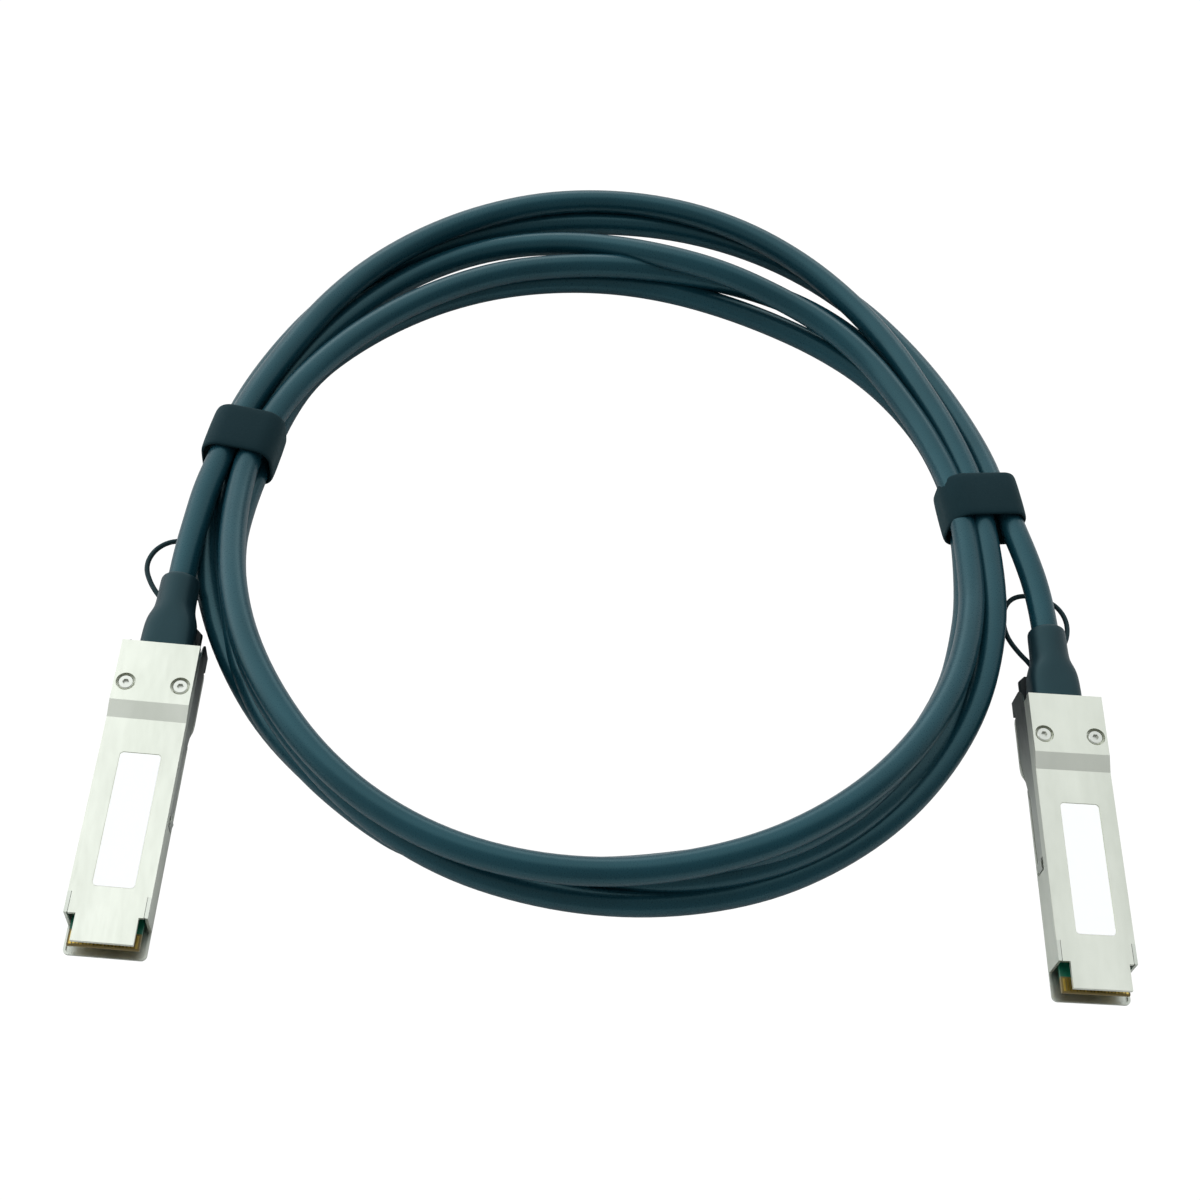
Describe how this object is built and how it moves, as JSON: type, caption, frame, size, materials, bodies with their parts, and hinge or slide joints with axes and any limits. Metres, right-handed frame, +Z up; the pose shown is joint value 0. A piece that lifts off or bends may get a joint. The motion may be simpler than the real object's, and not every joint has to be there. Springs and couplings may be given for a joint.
{
  "type": "direct attach copper cable",
  "caption": "Coiled round twinax cable with strap ties and a pluggable die-cast module, rubber boot and pull loop at each end.",
  "frame": {"origin": "middle of the footprint of the two end modules, on the surface they lie on", "axes": "+Z up, +Y from the module noses towards the coil, +X from the left module to the right one"},
  "size_m": [0.2408, 0.2561, 0.0208],
  "materials": {
    "plated_shell": "satin nickel plate on a zinc die casting",
    "screw_steel": "plated, slightly worn",
    "card_laminate": "solder-resist laminate",
    "contact_gold": "gold plated",
    "chip_body": "moulded resin",
    "capacitor_ceramic": "ceramic",
    "pair_foil": "foil shield",
    "crimp_metal": "plated",
    "boot_rubber": "matte moulded rubber",
    "slider_steel": "stamped spring steel",
    "spring_wire": "drawn wire",
    "loop_polymer": "moulded black polymer",
    "loop_cord": "coated wire",
    "cable_jacket": "semi-gloss dark teal jacket",
    "tie_strap": "woven hook-and-loop strap"
  },
  "bodies": {
    "cable_assembly": {"left_lower_shell": "plated_shell", "left_upper_cover": "plated_shell", "left_cover_screws": "screw_steel", "left_paddle_card": "card_laminate", "left_contact_pads": "contact_gold", "left_memory_chip": "chip_body", "left_capacitors": "capacitor_ceramic", "left_wire_pairs": "pair_foil", "left_crimp_ferrule": "crimp_metal", "left_strain_boot": "boot_rubber", "left_return_springs": "spring_wire", "left_cable_tail": "cable_jacket", "left_tie": "tie_strap", "right_lower_shell": "plated_shell", "right_upper_cover": "plated_shell", "right_cover_screws": "screw_steel", "right_paddle_card": "card_laminate", "right_contact_pads": "contact_gold", "right_memory_chip": "chip_body", "right_capacitors": "capacitor_ceramic", "right_wire_pairs": "pair_foil", "right_crimp_ferrule": "crimp_metal", "right_strain_boot": "boot_rubber", "right_return_springs": "spring_wire", "right_cable_tail": "cable_jacket", "right_tie": "tie_strap", "cable_coil": "cable_jacket"},
    "left_latch": {"left_latch_slider": "slider_steel", "left_loop_anchor": "loop_polymer", "left_pull_loop": "loop_cord"},
    "right_latch": {"right_latch_slider": "slider_steel", "right_loop_anchor": "loop_polymer", "right_pull_loop": "loop_cord"}
  },
  "joints": [
    {"name": "left_latch_slide", "type": "slide", "parent": "cable_assembly", "child": "left_latch", "axis": [0.0401, 0.9973, 0.0612], "range_m": [0, 0.002], "stiffness_N_per_m": 1000, "springref_m": -0.002, "deforming": ["left_return_springs"]},
    {"name": "right_latch_slide", "type": "slide", "parent": "cable_assembly", "child": "right_latch", "axis": [0.0052, 0.9981, 0.0612], "range_m": [0, 0.002], "stiffness_N_per_m": 1000, "springref_m": -0.002, "deforming": ["right_return_springs"]}
  ]
}
